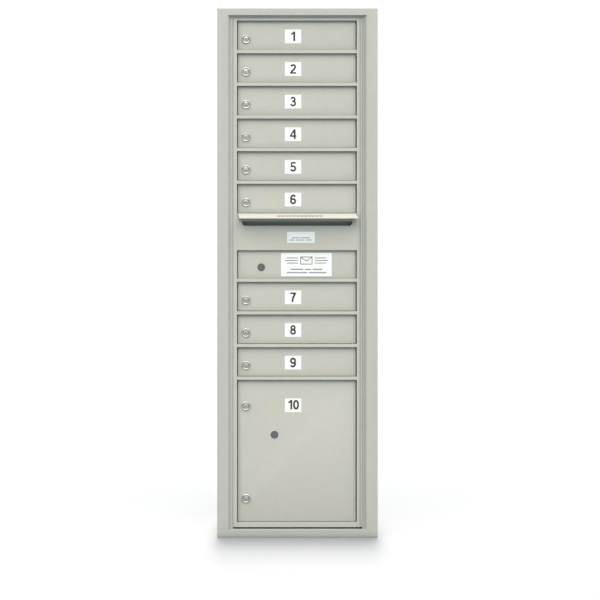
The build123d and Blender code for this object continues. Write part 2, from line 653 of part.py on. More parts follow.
def latch_bar_guides():
    """Three loops on the back of the left stile that the latch bar slides in."""
    def guide(z):
        inner_x = grown((LATCH_LEFT_X, LATCH_LEFT_X + LATCH_WIDTH), GUIDE_CLEARANCE)
        inner_y = (LATCH_FRONT_Y - GUIDE_CLEARANCE, LATCH_FRONT_Y + LATCH_THICKNESS + GUIDE_CLEARANCE)
        height = (z - GUIDE_HEIGHT / 2, z + GUIDE_HEIGHT / 2)
        loop = block(grown(inner_x, GUIDE_WALL), (STILE_BACK_Y, inner_y[1] + GUIDE_WALL), height)
        return one_solid(loop - block(inner_x, inner_y, grown(height, 1)))

    return Compound(children=[guide(z) for z in GUIDE_Z])


def latch_strikes():
    """Three brackets on the cabinet's left flange, each with a plate that a hook drops behind."""
    inner = -(CABINET_HALF_WIDTH - SHEET)
    web_x = (inner + 1, inner + 1 + SHEET)

    def strike(z):
        top = z - HOOK_PRONG_DROP - SHEET
        height = (top - STRIKE_HEIGHT, top)
        plate_y = (STRIKE_PLATE_Y, STRIKE_PLATE_Y + STRIKE_PLATE_THICKNESS)
        bracket = block((web_x[0], -CABINET_MOUTH_HALF_WIDTH - SHEET), (SHEET, 2 * SHEET), height)
        bracket += block(web_x, (SHEET, plate_y[1]), height)
        bracket += block((web_x[0], LATCH_LEFT_X + HOOK_WIDTH - 1), plate_y, height)
        return one_solid(bracket)

    return Compound(children=[strike(z) for z in HOOK_Z])


def save(shape, node):
    export_step(shape, "parts/" + node + ".step")


os.makedirs("parts", exist_ok=True)

save(cabinet_side(-1), "cabinet_left_side")
save(cabinet_side(1), "cabinet_right_side")
save(cabinet_top(), "cabinet_top")
save(cabinet_bottom(), "cabinet_bottom")
save(cabinet_back(), "cabinet_back")
save(trim_frame(), "trim_frame")
save(compartment_shelves(), "compartment_shelves")
save(shelf_rivets(), "shelf_rivets")
save(master_hinge_frame_leaf(), "master_hinge_frame_leaf")
save(master_hinge_pin(), "master_hinge_pin")
save(latch_strikes(), "latch_strikes")

save(master_left_stile(), "master_left_stile")
save(master_right_stile(), "master_right_stile")
save(master_top_rail(), "master_top_rail")
save(master_bottom_rail(), "master_bottom_rail")
save(master_cross_rails(), "master_cross_rails")
save(outgoing_mail_panel(), "outgoing_mail_panel")
save(outgoing_mail_hood(), "outgoing_mail_hood")
save(outgoing_slot_baffle(), "outgoing_slot_baffle")
save(outgoing_info_plate(), "outgoing_info_plate")
save(postal_lock_panel(), "postal_lock_panel")
save(postal_lock_studs(), "postal_lock_studs")
save(key_hole_plug(*POSTAL_HOLE, POSTAL_FACE_Y), "postal_key_hole_plug")
save(master_hinge_door_leaf(), "master_hinge_door_leaf")
save(hinge_rods(), "door_hinge_rods")
save(latch_bar_guides(), "latch_bar_guides")
save(latch_bar(), "latch_bar")

LOCK_HOLE_RADIUS = LOCK_BARREL_RADIUS + RUNNING_CLEARANCE

for door_number in range(1, DOORS + 1):
    door = "door_" + str(door_number)
    door_span = door_opening(door_number)
    lock_z = door_span[1] - LOCK_BELOW_CELL_TOP
    save(door_leaf(door_span, [(LOCK_X, lock_z, LOCK_HOLE_RADIUS)]), door + "_leaf")
    save(lock_housing(lock_z), door + "_lock_housing")
    save(lock_plug(lock_z), door + "_lock_plug")

parcel_holes = [(LOCK_X, lock_z, LOCK_HOLE_RADIUS) for lock_z in PARCEL_LOCK_Z]
parcel_holes.append((*PARCEL_HOLE, KEY_HOLE_RADIUS))
save(door_leaf(parcel_opening(), parcel_holes), "parcel_door_leaf")
save(Compound(children=[lock_housing(lock_z) for lock_z in PARCEL_LOCK_Z]), "parcel_lock_housings")
save(lock_plug(PARCEL_LOCK_Z[0]), "parcel_upper_lock_plug")
save(lock_plug(PARCEL_LOCK_Z[1]), "parcel_lower_lock_plug")
save(key_hole_plug(*PARCEL_HOLE, DOOR_FACE_Y), "parcel_key_hole_plug")
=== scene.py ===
import json
import math

import bmesh
import bpy
from mathutils import Matrix, Vector


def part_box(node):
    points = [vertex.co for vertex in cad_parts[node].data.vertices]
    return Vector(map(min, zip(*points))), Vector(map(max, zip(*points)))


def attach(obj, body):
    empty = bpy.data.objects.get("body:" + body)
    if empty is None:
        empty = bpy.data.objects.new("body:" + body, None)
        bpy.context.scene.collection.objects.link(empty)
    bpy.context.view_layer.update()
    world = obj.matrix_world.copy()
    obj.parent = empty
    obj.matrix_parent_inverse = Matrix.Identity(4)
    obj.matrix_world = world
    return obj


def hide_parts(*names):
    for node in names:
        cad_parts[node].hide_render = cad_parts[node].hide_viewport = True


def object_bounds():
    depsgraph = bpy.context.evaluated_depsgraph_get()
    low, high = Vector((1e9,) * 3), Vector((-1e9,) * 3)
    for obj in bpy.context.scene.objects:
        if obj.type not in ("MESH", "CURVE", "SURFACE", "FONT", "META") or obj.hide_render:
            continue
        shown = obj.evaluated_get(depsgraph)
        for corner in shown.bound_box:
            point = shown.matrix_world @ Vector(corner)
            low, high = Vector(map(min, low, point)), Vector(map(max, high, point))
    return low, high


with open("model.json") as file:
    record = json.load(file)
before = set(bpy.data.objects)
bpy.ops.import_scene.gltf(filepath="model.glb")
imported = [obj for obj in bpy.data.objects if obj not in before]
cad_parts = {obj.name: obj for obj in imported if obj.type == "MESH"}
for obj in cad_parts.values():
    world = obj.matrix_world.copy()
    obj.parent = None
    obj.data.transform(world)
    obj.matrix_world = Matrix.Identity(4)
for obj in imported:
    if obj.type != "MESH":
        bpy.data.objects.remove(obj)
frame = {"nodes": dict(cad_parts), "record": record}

# Looks of the recessed cluster mailbox unit. Lengths are in metres, in the frame of the CAD model:
# X to the right as seen from the front, the front faces -Y, +Z up.

CAD_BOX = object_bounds()
MM = 0.001
DOORS = 9

# ---- camera and light ----------------------------------------------------
CAMERA_LENS = 110.0
CAMERA_SENSOR = 36.0
CAMERA_CLIP_END = 200.0
VISIBLE_HEIGHT = 1.6238
CAMERA_X = 0.0070
CAMERA_Z = 0.6448
AMBIENT_COLOUR = (0.84, 1.0, 1.06)
AMBIENT_STRENGTH = 0.55
BACKDROP_STRENGTH = 1.1
KEY_COLOUR = (1.0, 0.95, 0.87)
KEY_STRENGTH = 4.5
KEY_FROM = (-0.05, -0.42, 1.0)
KEY_SIZE_DEG = 85.0
# How much stronger the ambient light is from the front than from the side.
FRONT_SHARE = 0.35
# The floor's tone to the camera, and the duller tone that it throws back onto the unit.
FLOOR_TONE = (0.46, 0.445, 0.44)
FLOOR_BOUNCE = (0.25, 0.25, 0.25)
FLOOR_RADIUS = 60.0
FLOOR_DROP = 0.2 * MM
# A strip of lamps that light only the floor: degrees above the horizon behind the unit, and share of white.
FLOOR_LIGHTS = ((87.5, 0.10), (85.5, 0.10), (83.0, 0.10), (80.5, 0.10), (77.5, 0.08), (74.0, 0.06),
                (70.0, 0.06), (65.0, 0.05))
FLOOR_LIGHT_SIZE_DEG = 5.0
FLOOR_FILL_FROM = (0.0, -1.0, 1.5)
FLOOR_FILL = 0.16
FLOOR_FILL_SIZE_DEG = 50.0

# ---- edge rounding on the CAD nodes --------------------------------------
WELD_DISTANCE = 0.01 * MM
FLAT_ANGLE_DEG = 0.6
SHARP_ANGLE_DEG = 28.0


# ---- shader helper -------------------------------------------------------

class Shader:
    """One node material, built by calls that return output sockets."""

    def __init__(self, name):
        self.material = bpy.data.materials.new(name)
        self.material.use_nodes = True
        self.tree = self.material.node_tree
        self.surface = self.tree.nodes["Principled BSDF"]
        self.position = self.node("ShaderNodeTexCoord").outputs["Object"]

    def node(self, kind, **settings):
        made = self.tree.nodes.new(kind)
        for key, value in settings.items():
            setattr(made, key, value)
        return made

    def feed(self, socket, value):
        """Links an output socket, or sets a plain value."""
        if isinstance(value, bpy.types.NodeSocket):
            self.tree.links.new(value, socket)
        elif socket.type == "RGBA" and len(value) == 3:
            socket.default_value = (*value, 1.0)
        else:
            socket.default_value = value

    def set(self, **inputs):
        for key, value in inputs.items():
            self.feed(self.surface.inputs[key.replace("_", " ")], value)

    def math(self, operation, a, b):
        made = self.node("ShaderNodeMath", operation=operation)
        self.feed(made.inputs[0], a)
        self.feed(made.inputs[1], b)
        return made.outputs[0]

    def stretched(self, scale):
        """Object position with each axis scaled."""
        made = self.node("ShaderNodeMapping")
        self.feed(made.inputs["Vector"], self.position)
        made.inputs["Scale"].default_value = scale
        return made.outputs[0]

    def noise(self, cells_per_metre, detail=2.0, stretch=(1.0, 1.0, 1.0), roughness=0.5):
        made = self.node("ShaderNodeTexNoise")
        self.feed(made.inputs["Vector"], self.stretched(stretch))
        made.inputs["Scale"].default_value = cells_per_metre
        made.inputs["Detail"].default_value = detail
        made.inputs["Roughness"].default_value = roughness
        return made.outputs["Fac"]

    def cells(self, cells_per_metre):
        """Distance to the middle of the nearest cell."""
        made = self.node("ShaderNodeTexVoronoi")
        self.feed(made.inputs["Vector"], self.position)
        made.inputs["Scale"].default_value = cells_per_metre
        return made.outputs["Distance"]

    def spread(self, value, low, high, from_low=0.3, from_high=0.7):
        """Maps a value to another span, clamped."""
        made = self.node("ShaderNodeMapRange")
        self.feed(made.inputs["Value"], value)
        made.inputs["From Min"].default_value = from_low
        made.inputs["From Max"].default_value = from_high
        made.inputs["To Min"].default_value = low
        made.inputs["To Max"].default_value = high
        return made.outputs[0]

    def mix(self, share, a, b, blend="MIX"):
        made = self.node("ShaderNodeMix", data_type="RGBA", blend_type=blend)
        self.feed(made.inputs[0], share)
        self.feed(made.inputs[6], a)
        self.feed(made.inputs[7], b)
        return made.outputs[2]

    def openness(self, reach, lean=None):
        """1 on open faces, towards 0 in corners. Lean is added to the face's normal to look that way."""
        made = self.node("ShaderNodeAmbientOcclusion", samples=8, only_local=False)
        made.inputs["Distance"].default_value = reach
        if lean:
            normal = self.node("ShaderNodeNewGeometry").outputs["Normal"]
            leaning = self.node("ShaderNodeVectorMath", operation="ADD")
            self.feed(leaning.inputs[0], normal)
            leaning.inputs[1].default_value = lean
            self.feed(made.inputs["Normal"], leaning.outputs[0])
        return made.outputs["AO"]

    def bump(self, height, distance, strength=1.0, below=None):
        made = self.node("ShaderNodeBump")
        made.inputs["Strength"].default_value = strength
        made.inputs["Distance"].default_value = distance
        self.feed(made.inputs["Height"], height)
        if below is not None:
            self.feed(made.inputs["Normal"], below)
        return made.outputs[0]


# ---- materials -----------------------------------------------------------

# Painted shade in corners and recesses: how far it reaches, and the darker, cooler tone it blends towards.
CORNER_SHADE_REACH = 20.0 * MM
CORNER_SHADE_TONE = (0.30, 0.33, 0.31)
# Shade under what juts out overhead. The lean is shorter than a normal, so the two never cancel out.
SHELTER_REACH = 120.0 * MM
SHELTER_LEAN = (0.0, 0.0, 0.95)
SHELTER_CLOSED = 0.15
SHELTER_OPEN = 0.90
SHELTER_LEAST_PAINT = 0.15
SHELTER_TONE = (0.35, 0.375, 0.357)
# Painted shade in the lock's dish and keyway: how far it reaches and its dark tone.
LOCK_SHADE_REACH = 4.0 * MM
LOCK_SHADE_TONE = (0.07, 0.068, 0.065)


def powder_coat(name, cool_tone, warm_tone, shelter_shade=True):
    """Satin grey powder coat: orange peel, fine speckle, a slow drift of tone, and painted shade: dull and
    cool in corners, and, unless the last argument turns it off, under what juts out overhead.
    """
    s = Shader(name)
    drift = s.noise(2.4, 3.0, (1.0, 1.0, 0.35))
    tone = s.mix(s.spread(drift, 0.0, 1.0), cool_tone, warm_tone)
    # Painted shade: the paint turns darker and cooler near corners.
    tone = s.mix(s.spread(s.openness(CORNER_SHADE_REACH), 0.0, 1.0, 0.0, 1.0), CORNER_SHADE_TONE, tone)
    # Painted shade under what juts out overhead, as if cast by light from above.
    if shelter_shade:
        overhead = s.openness(SHELTER_REACH, SHELTER_LEAN)
        share = s.spread(overhead, SHELTER_LEAST_PAINT, 1.0, SHELTER_CLOSED, SHELTER_OPEN)
        tone = s.mix(share, SHELTER_TONE, tone)
    mottle = s.spread(s.noise(46.0, 4.0), 0.982, 1.014)
    speckle = s.spread(s.noise(1500.0, 3.0, roughness=0.7), 0.955, 1.03)
    shade = s.math("MULTIPLY", mottle, speckle)
    grey = s.node("ShaderNodeCombineColor")
    for channel in grey.inputs:
        s.feed(channel, shade)
    peel = s.noise(430.0, 2.0)
    grain = s.noise(1700.0, 2.0)
    relief = s.bump(grain, 0.05 * MM, 0.35, s.bump(peel, 0.12 * MM, 0.30))
    s.set(Base_Color=s.mix(1.0, tone, grey.outputs[0], "MULTIPLY"),
          Roughness=s.spread(s.noise(240.0, 3.0), 0.40, 0.52),
          Normal=relief)
    s.surface.inputs["Specular IOR Level"].default_value = 0.42
    return s.material


def rolled_aluminium():
    """Bare sheet: long fine rolling streaks, dull patches and small handling scuffs."""
    s = Shader("mill_aluminium")
    streak = s.noise(700.0, 4.0, (1.0, 1.0, 0.012), 0.65)
    patch = s.noise(9.0, 4.0)
    scuff = s.spread(s.noise(120.0, 6.0, (1.0, 0.25, 1.0), 0.8), 0.0, 1.0, 0.60, 0.72)
    base = s.mix(s.spread(streak, 0.0, 1.0), (0.60, 0.61, 0.62), (0.76, 0.77, 0.775))
    base = s.mix(s.spread(patch, 0.0, 0.35), base, (0.55, 0.56, 0.575))
    rough = s.math("ADD", s.spread(streak, 0.30, 0.44), s.math("MULTIPLY", scuff, 0.15))
    s.set(Base_Color=base, Roughness=rough, Metallic=0.92,
          Normal=s.bump(streak, 0.03 * MM, 0.4, s.bump(patch, 0.6 * MM, 0.2)))
    return s.material


def satin_nickel():
    """Plated lock bodies: warm, with a few fine pits, and darkened by painted shade in the dish and the
    keyway.
    """
    s = Shader("nickel_plate")
    film = s.noise(160.0, 4.0)
    fine = s.noise(2600.0, 3.0)
    base = s.mix(s.spread(film, 0.0, 1.0), (0.62, 0.595, 0.54), (0.78, 0.765, 0.72))
    # Painted shade: the dish and the keyway turn dark.
    base = s.mix(s.spread(s.openness(LOCK_SHADE_REACH), 0.35, 1.0, 0.25, 0.98), LOCK_SHADE_TONE, base)
    s.set(Base_Color=base, Roughness=s.spread(fine, 0.20, 0.34), Metallic=1.0,
          Normal=s.bump(fine, 0.02 * MM, 0.35))
    return s.material


def drawn_stainless():
    """Hinge pin: fine lines along its length."""
    s = Shader("stainless_steel")
    line = s.noise(1800.0, 3.0, (1.0, 1.0, 0.02))
    base = s.mix(s.spread(line, 0.0, 1.0), (0.52, 0.52, 0.52), (0.68, 0.68, 0.675))
    s.set(Base_Color=base, Roughness=s.spread(line, 0.22, 0.36), Metallic=1.0,
          Normal=s.bump(line, 0.02 * MM, 0.3))
    return s.material


def zinc_plate():
    """Bright zinc on steel: cloudy patches with a faint warm and blue tint."""
    s = Shader("zinc_plated_steel")
    cloud = s.noise(60.0, 5.0, roughness=0.6)
    spangle = s.cells(420.0)
    base = s.mix(s.spread(cloud, 0.0, 1.0), (0.53, 0.56, 0.60), (0.69, 0.685, 0.63))
    rough = s.math("ADD", s.spread(cloud, 0.26, 0.40), s.math("MULTIPLY", spangle, 0.08))
    s.set(Base_Color=base, Roughness=rough, Metallic=1.0,
          Normal=s.bump(s.noise(900.0, 3.0), 0.03 * MM, 0.35))
    return s.material


def silver_plate():
    """Satin silver label plate, brushed along its length."""
    s = Shader("silver_plate")
    line = s.noise(1500.0, 4.0, (0.02, 1.0, 1.0), 0.6)
    base = s.mix(s.spread(line, 0.0, 1.0), (0.74, 0.765, 0.76), (0.86, 0.885, 0.88))
    s.set(Base_Color=base, Roughness=s.spread(line, 0.34, 0.48), Metallic=0.3,
          Normal=s.bump(line, 0.02 * MM, 0.4))
    return s.material


def black_plastic():
    """Moulded plug: fine matt texture, dusty in places."""
    s = Shader("black_plastic")
    dust = s.noise(260.0, 4.0)
    base = s.mix(s.spread(dust, 0.0, 1.0), (0.085, 0.087, 0.09), (0.13, 0.132, 0.133))
    s.set(Base_Color=base, Roughness=s.spread(dust, 0.42, 0.6),
          Normal=s.bump(s.noise(1900.0, 2.0), 0.04 * MM, 0.5))
    return s.material


def white_vinyl():
    """Sticker film: faint ripple and gloss."""
    s = Shader("white_vinyl")
    ripple = s.noise(70.0, 3.0)
    base = s.mix(s.spread(ripple, 0.0, 1.0), (0.86, 0.86, 0.85), (0.91, 0.91, 0.90))
    s.set(Base_Color=base, Roughness=s.spread(s.noise(500.0, 2.0), 0.34, 0.44),
          Normal=s.bump(ripple, 0.2 * MM, 0.25))
    return s.material


def ink(name, dark, light):
    """Printed ink: nearly even, with a slight mottle."""
    s = Shader(name)
    mottle = s.noise(900.0, 3.0)
    s.set(Base_Color=s.mix(s.spread(mottle, 0.0, 1.0), dark, light),
          Roughness=s.spread(mottle, 0.38, 0.55),
          Normal=s.bump(mottle, 0.01 * MM, 0.3))
    return s.material


MATERIALS = {
    "powder_coat": powder_coat("powder_coat", (0.534, 0.517, 0.466), (0.554, 0.529, 0.469)),
    "mill_aluminium": rolled_aluminium(),
    "nickel_plate": satin_nickel(),
    "stainless_steel": drawn_stainless(),
    "zinc_plated_steel": zinc_plate(),
    "silver_plate": silver_plate(),
    "black_plastic": black_plastic(),
}
# Darker copies of the powder coat for the two parts that nothing shelters from above: their lower tones are
# painted shade that holds back the light these open faces catch, and they get no painted shade from
# overhead.
SHADED_COPY_PAINT = {
    "trim_frame": powder_coat("trim_shaded_powder_coat", (0.478, 0.474, 0.440), (0.492, 0.484, 0.444), False),
    "outgoing_mail_hood": powder_coat("hood_shaded_powder_coat", (0.512, 0.502, 0.455), (0.532, 0.514, 0.458),
                                      False),
}
VINYL = white_vinyl()
BLACK_INK = ink("black_ink", (0.012, 0.012, 0.013), (0.022, 0.022, 0.023))
DARK_GREY_INK = ink("dark_grey_ink", (0.085, 0.085, 0.09), (0.12, 0.12, 0.125))
GREY_INK = ink("grey_ink", (0.26, 0.26, 0.265), (0.33, 0.33, 0.335))


# ---- mesh helpers --------------------------------------------------------

def new_piece(name, mesh, material, body, smooth_angle_deg=None):
    """Links a mesh as a piece that moves with one body."""
    piece = bpy.data.objects.new(name, mesh)
    bpy.context.scene.collection.objects.link(piece)
    mesh.materials.clear()
    mesh.materials.append(material)
    if smooth_angle_deg is not None:
        mesh.shade_smooth()
        mesh.set_sharp_from_angle(angle=math.radians(smooth_angle_deg))
    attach(piece, body)
    return piece


def mesh_from(builder, name):
    """Runs a bmesh builder and returns its mesh with outward normals."""
    bm = bmesh.new()
    builder(bm)
    bmesh.ops.recalc_face_normals(bm, faces=bm.faces)
    mesh = bpy.data.meshes.new(name)
    bm.to_mesh(mesh)
    bm.free()
    return mesh


def join_loops(bm, low, high):
    """Quads between two closed loops of as many points."""
    count = len(low)
    for i in range(count):
        j = (i + 1) % count
        bm.faces.new((low[i], low[j], high[j], high[i]))


def turned(bm, x, y, z, profile, segments):
    """Revolves a closed outline of (radius, depth behind y) points round the axis along Y through x, z."""
    loops = []
    for radius, depth in profile:
        loop = []
        for step in range(segments):
            angle = 2 * math.pi * step / segments
            place = (x + radius * math.cos(angle), y + depth, z + radius * math.sin(angle))
            loop.append(bm.verts.new(place))
        loops.append(loop)
    for low, high in zip(loops, loops[1:] + loops[:1]):
        join_loops(bm, low, high)


def united(meshes, name):
    """One mesh from several overlapping closed ones."""
    parts = []
    for mesh in meshes:
        part = bpy.data.objects.new("part", mesh)
        bpy.context.scene.collection.objects.link(part)
        parts.append(part)
    for other in parts[1:]:
        union = parts[0].modifiers.new("union", "BOOLEAN")
        union.operation = "UNION"
        union.solver = "EXACT"
        union.object = other
    seen = parts[0].evaluated_get(bpy.context.evaluated_depsgraph_get())
    result = bpy.data.meshes.new_from_object(seen)
    result.name = name
    for part in parts:
        bpy.data.objects.remove(part)
    return result


def rounded_outline(width, height, radius, steps=6):
    """Corner points of a rectangle with rounded corners, round the origin."""
    points = []
    for quarter, (sign_x, sign_z) in enumerate(((1, 1), (-1, 1), (-1, -1), (1, -1))):
        centre = (sign_x * (width / 2 - radius), sign_z * (height / 2 - radius))
        for step in range(steps + 1):
            angle = math.pi / 2 * (quarter + step / steps)
            points.append((centre[0] + radius * math.cos(angle), centre[1] + radius * math.sin(angle)))
    return points


def in_metres(profile):
    """A profile of (radius, depth) points turned from millimetres to metres."""
    return [(radius * MM, depth * MM) for radius, depth in profile]


def shifted(outline, across, up):
    return [(u + across, v + up) for u, v in outline]


def facing_front(x, y, z):
    """Placement of a flat outline on an upright face: across is +X, up is +Z, out is -Y."""
    return Matrix(((1, 0, 0, x), (0, 0, -1, y), (0, 1, 0, z), (0, 0, 0, 1)))


def film(bm, place, outline, thickness, edge=0.0):
    """Thin sheet of the given outline on a placed face, its front edge drawn in by edge."""
    middle = (sum(p[0] for p in outline) / len(outline), sum(p[1] for p in outline) / len(outline))

    def loop(height, inset):
        made = []
        for u, v in outline:
            length = math.hypot(u - middle[0], v - middle[1]) or 1.0
            share = inset / length
            made.append(bm.verts.new(place @ Vector((u + (middle[0] - u) * share,
                                                     v + (middle[1] - v) * share, height))))
        return made

    loops = [loop(0.0, 0.0), loop(thickness - edge, 0.0), loop(thickness, edge)]
    if edge == 0.0:
        loops = [loops[0], loops[2]]
    for low, high in zip(loops, loops[1:]):
        join_loops(bm, low, high)
    bm.faces.new(loops[0])
    bm.faces.new(loops[-1])


# ---- CAD nodes -----------------------------------------------------------

SHEET_EDGE = 0.45 * MM
SMALL_EDGE = 0.2 * MM
EDGE_OF = {
    "trim_frame": 0.9 * MM,
    "outgoing_info_plate": 0.12 * MM,
    "shelf_rivets": SMALL_EDGE,
    "master_hinge_frame_leaf": SMALL_EDGE,
    "master_hinge_door_leaf": SMALL_EDGE,
    "master_hinge_pin": SMALL_EDGE,
}


def dress(node, slot):
    """Gives a CAD node its material and rounds its sharp edges with modifiers."""
    shown = frame["nodes"][node]
    mesh = shown.data
    mesh.materials.clear()
    mesh.materials.append(SHADED_COPY_PAINT.get(node, MATERIALS[slot]))
    if "custom_normal" in mesh.attributes:
        mesh.attributes.remove(mesh.attributes["custom_normal"])
    mesh.shade_smooth()
    weld = shown.modifiers.new("weld", "WELD")
    weld.merge_threshold = WELD_DISTANCE
    flat = shown.modifiers.new("flat", "DECIMATE")
    flat.decimate_type = "DISSOLVE"
    flat.angle_limit = math.radians(FLAT_ANGLE_DEG)
    rounding = shown.modifiers.new("edges", "BEVEL")
    rounding.width = EDGE_OF.get(node, SHEET_EDGE)
    rounding.segments = 2
    rounding.limit_method = "ANGLE"
    rounding.angle_limit = math.radians(SHARP_ANGLE_DEG)
    rounding.harden_normals = True


def centre_of(node):
    low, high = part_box(node)
    return (low + high) / 2


# ---- stickers and labels -------------------------------------------------

FILM = 0.12 * MM
FILM_EDGE = 0.04 * MM
FILM_CORNER = 1.0 * MM
INK = 0.03 * MM
STICKER_WIDTH = 44.7 * MM
STICKER_HEIGHT = 37.5 * MM
STICKER_X = -11.9 * MM
STICKER_BELOW_DOOR_TOP = 41.45 * MM
PARCEL_STICKER_ABOVE_LOCK = 1.6 * MM
PARCEL_FIGURES_UP = 1.5 * MM
FIGURE_HEIGHT = 26.0 * MM


def sticker(name, body, x, y, z, width, height):
    """White film with rounded corners."""
    outline = rounded_outline(width, height, FILM_CORNER)
    mesh = mesh_from(lambda bm: film(bm, facing_front(x, y, z), outline, FILM, FILM_EDGE), name)
    new_piece(name, mesh, VINYL, body)


# Figures are drawn in units of their own height: strokes as centre lines with a width, and plain polygons.
PEN = 0.188
THIN_PEN = 0.165


def arc(centre, radii, start_deg, end_deg, steps=28):
    """Points along an ellipse that is a little squared off, from one angle to another."""
    points = []
    for step in range(steps + 1):
        angle = math.radians(start_deg + (end_deg - start_deg) * step / steps)
        across = math.copysign(abs(math.cos(angle)) ** 0.92, math.cos(angle))
        up = math.copysign(abs(math.sin(angle)) ** 0.92, math.sin(angle))
        points.append((centre[0] + radii[0] * across, centre[1] + radii[1] * up))
    return points


def band(points, pen=PEN):
    """Outline of a stroke of even width along the points, with square ends and mitred corners."""
    left = []
    right = []
    for i, point in enumerate(points):
        here = Vector(point)
        ahead = (Vector(points[i + 1]) - here).normalized() if i + 1 < len(points) else None
        behind = (here - Vector(points[i - 1])).normalized() if i > 0 else None
        ahead = ahead or behind
        behind = behind or ahead
        along = (ahead + behind).normalized()
        reach = pen / 2 / max(along.dot(ahead), 0.3)
        left.append((here.x - along.y * reach, here.y + along.x * reach))
        right.append((here.x + along.y * reach, here.y - along.x * reach))
    return left + right[::-1]


def box_outline(left, right, low, high):
    return [(left, low), (right, low), (right, high), (left, high)]


def ring_halves(centre, radii, pen=PEN):
    return [band(arc(centre, radii, 0, 180), pen), band(arc(centre, radii, 180, 360), pen)]


def six():
    back = arc((0.03, 0.02), (0.255, 0.395), 180, 42)
    return ring_halves((0.005, -0.185), (0.225, 0.225)) + [band(back)]


def figure_shapes(figure):
    """Outlines that make up one figure, half a unit up and down from its middle."""
    if figure == "0":
        return ring_halves((0.0, 0.0), (0.215, 0.41))
    if figure == "1":
        stem = box_outline(0.03, 0.03 + PEN, -0.5, 0.5)
        flag = [(0.03, 0.5 - PEN / 2), (0.06, 0.5), (-0.06, 0.37), (-0.19, 0.29), (-0.19, 0.13),
                (-0.08, 0.175), (0.03, 0.25)]
        return [stem, flag]
    if figure == "2":
        head = arc((0.0, 0.21), (0.215, 0.20), 168, -12)
        tail = [(0.16, 0.05), (0.03, -0.10), (-0.12, -0.25), (-0.19, -0.37), (-0.205, -0.44)]
        return [band(head + tail), box_outline(-0.31, 0.31, -0.5, -0.5 + THIN_PEN)]
    if figure == "3":
        upper = arc((-0.01, 0.235), (0.19, 0.182), 165, -90)
        lower = arc((0.0, -0.20), (0.225, 0.217), 90, -168)
        return [band(upper, THIN_PEN), band(lower, THIN_PEN + 0.01),
                box_outline(-0.10, 0.02, -0.045, 0.115)]
    if figure == "4":
        diagonal = [(-0.33, -0.115), (-0.15, -0.115), (0.075, 0.20), (0.075, 0.5)]
        stem = box_outline(0.075, 0.075 + PEN, -0.5, 0.5)
        return [stem, box_outline(-0.33, 0.34, -0.28, -0.115), diagonal]
    if figure == "5":
        back = [(-0.20, 0.5), (-0.26, -0.03), (-0.11, -0.03), (-0.065, 0.5)]
        bowl = arc((0.005, -0.18), (0.225, 0.235), 132, -166)
        return [box_outline(-0.20, 0.285, 0.5 - THIN_PEN, 0.5), back, band(bowl, THIN_PEN + 0.012)]
    if figure == "6":
        return six()
    if figure == "7":
        leg = [(0.235, 0.40), (0.11, 0.20), (0.0, -0.06), (-0.055, -0.30), (-0.07, -0.5)]
        return [box_outline(-0.30, 0.31, 0.5 - THIN_PEN, 0.5), band(leg)]
    if figure == "8":
        return (ring_halves((0.0, 0.235), (0.185, 0.182), THIN_PEN)
                + ring_halves((0.0, -0.20), (0.222, 0.217), THIN_PEN + 0.01))
    return [[(-u, -v) for u, v in outline] for outline in six()]


FIGURE_ADVANCE = 0.62


def figures(name, body, text, x, y, z):
    """Bold upright figures as thin solids, centred on x, z."""
    place = facing_front(x, y, z) @ Matrix.Diagonal((FIGURE_HEIGHT, FIGURE_HEIGHT, 1.0, 1.0))
    outlines = []
    for index, figure in enumerate(text):
        across = (index - (len(text) - 1) / 2) * FIGURE_ADVANCE
        outlines += [shifted(outline, across, 0.0) for outline in figure_shapes(figure)]
    printed(name, body, place, outlines, BLACK_INK)


def printed(name, body, place, outlines, material, thickness=INK):
    """Thin solid print made of the given outlines, united where they cross."""
    strokes = [mesh_from(lambda bm: film(bm, place, outline, thickness), name) for outline in outlines]
    new_piece(name, united(strokes, name), material, body)


def door_number(number):
    """White film with the compartment number on a mail door."""
    body = "door_" + str(number)
    low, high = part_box(body + "_leaf")
    z = high.z - STICKER_BELOW_DOOR_TOP
    sticker(body + "_number_film", body, STICKER_X, low.y, z, STICKER_WIDTH, STICKER_HEIGHT)
    figures(body + "_number", body, str(number), STICKER_X, low.y - FILM, z)


def parcel_number():
    """The same film on the parcel door, with a two-figure number."""
    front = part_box("parcel_door_leaf")[0].y
    z = lock_axis("parcel_upper_lock_plug")[1] + PARCEL_STICKER_ABOVE_LOCK
    sticker("parcel_number_film", "parcel_door", STICKER_X, front, z, STICKER_WIDTH, STICKER_HEIGHT)
    figures("parcel_number", "parcel_door", "10", STICKER_X, front - FILM, z + PARCEL_FIGURES_UP)


LABEL_WIDTH = 138.0 * MM
LABEL_HEIGHT = 63.8 * MM
LABEL_X = 24.4 * MM
LABEL_DOWN = 1.0 * MM
ENVELOPE_WIDTH = 31.0 * MM
ENVELOPE_HEIGHT = 19.5 * MM
FLAP_INSET = 0.6 * MM
FLAP_DROP = 0.9 * MM
FLAP_POINT_SHARE = 0.15
STROKE = 2.0 * MM
SIGN_UP = 11.5 * MM
# Three lines on each side of the envelope, the middle one the longest.
LINE_GAP = 8.0 * MM
LINE_LENGTH = 34.0 * MM
LINE_SHORTER = 5.0 * MM
LINE_PITCH = 7.0 * MM
# Rows of bars, each as width, height above the label's middle and the share of each bar.
LABEL_BAR = 3.6 * MM
LABEL_ROWS = ((87.0 * MM, -12.5 * MM, (4, 2, 3)), (108.0 * MM, -21.5 * MM, (6, 5)))


def stroke(start, end, width):
    """Outline of a straight line with rounded ends."""
    direction = Vector((end[0] - start[0], end[1] - start[1]))
    turn = Matrix.Rotation(math.atan2(direction.y, direction.x), 2)
    middle = Vector(((start[0] + end[0]) / 2, (start[1] + end[1]) / 2))
    bar = rounded_outline(direction.length + width, width, width * 0.49, 4)
    return [tuple(middle + turn @ Vector(point)) for point in bar]


